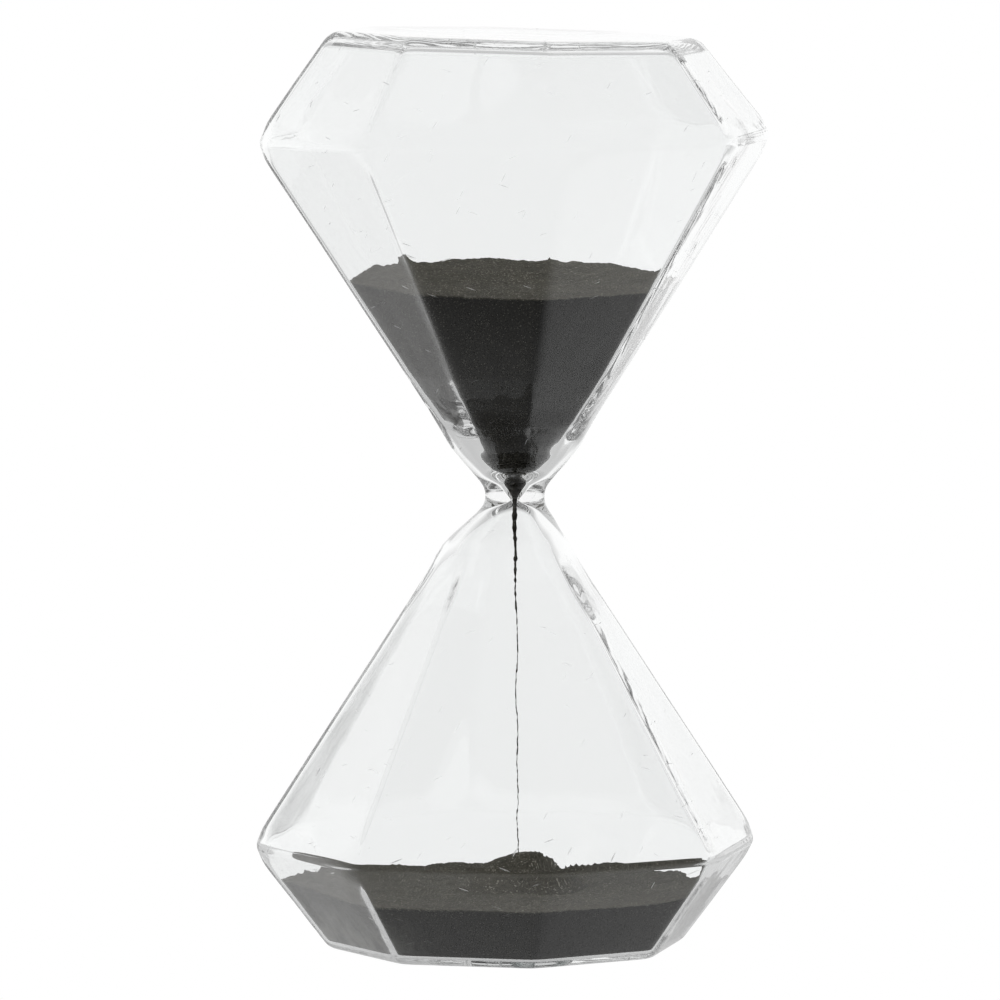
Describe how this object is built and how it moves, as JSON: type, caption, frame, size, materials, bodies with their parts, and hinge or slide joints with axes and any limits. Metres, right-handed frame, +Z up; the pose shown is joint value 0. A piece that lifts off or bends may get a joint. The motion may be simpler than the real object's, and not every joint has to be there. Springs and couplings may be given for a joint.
{
  "type": "hourglass",
  "caption": "Sealed sand timer of clear glass: two diamond-shaped octagonal bulbs joined at a narrow waist, with fine black sand running from the upper bulb into the lower one.",
  "frame": {"origin": "centre of the lower end face, on the plane of the rim that the hourglass stands on", "axes": "+Z up through the throat; +X and +Y square to two flat sides of the octagon"},
  "size_m": [0.0932, 0.0932, 0.176],
  "materials": {
    "clear_glass": "clear mould-blown glass, fire polished",
    "black_sand": "fine dry sand, matt charcoal black"
  },
  "bodies": {
    "glass": {"lower_bulb": "clear_glass", "upper_bulb": "clear_glass", "neck_tube": "clear_glass", "fill_seal": "clear_glass", "sand_upper": "black_sand", "sand_throat": "black_sand", "sand_stream": "black_sand", "sand_bed": "black_sand"},
    "running_sand": {"sand_core": "black_sand"},
    "growing_heap": {"sand_heap": "black_sand"}
  },
  "joints": [
    {"name": "crater_sink", "type": "slide", "parent": "glass", "child": "running_sand", "axis": [0, 0, -1], "range_m": [0, 0.012], "deforming": ["sand_core"]},
    {"name": "heap_rise", "type": "slide", "parent": "glass", "child": "growing_heap", "axis": [0, 0, 1], "range_m": [0, 0.00611], "deforming": ["sand_heap"]}
  ],
  "couplings": [
    {"joint": "heap_rise", "follows": "crater_sink", "ratio": 0.509}
  ]
}
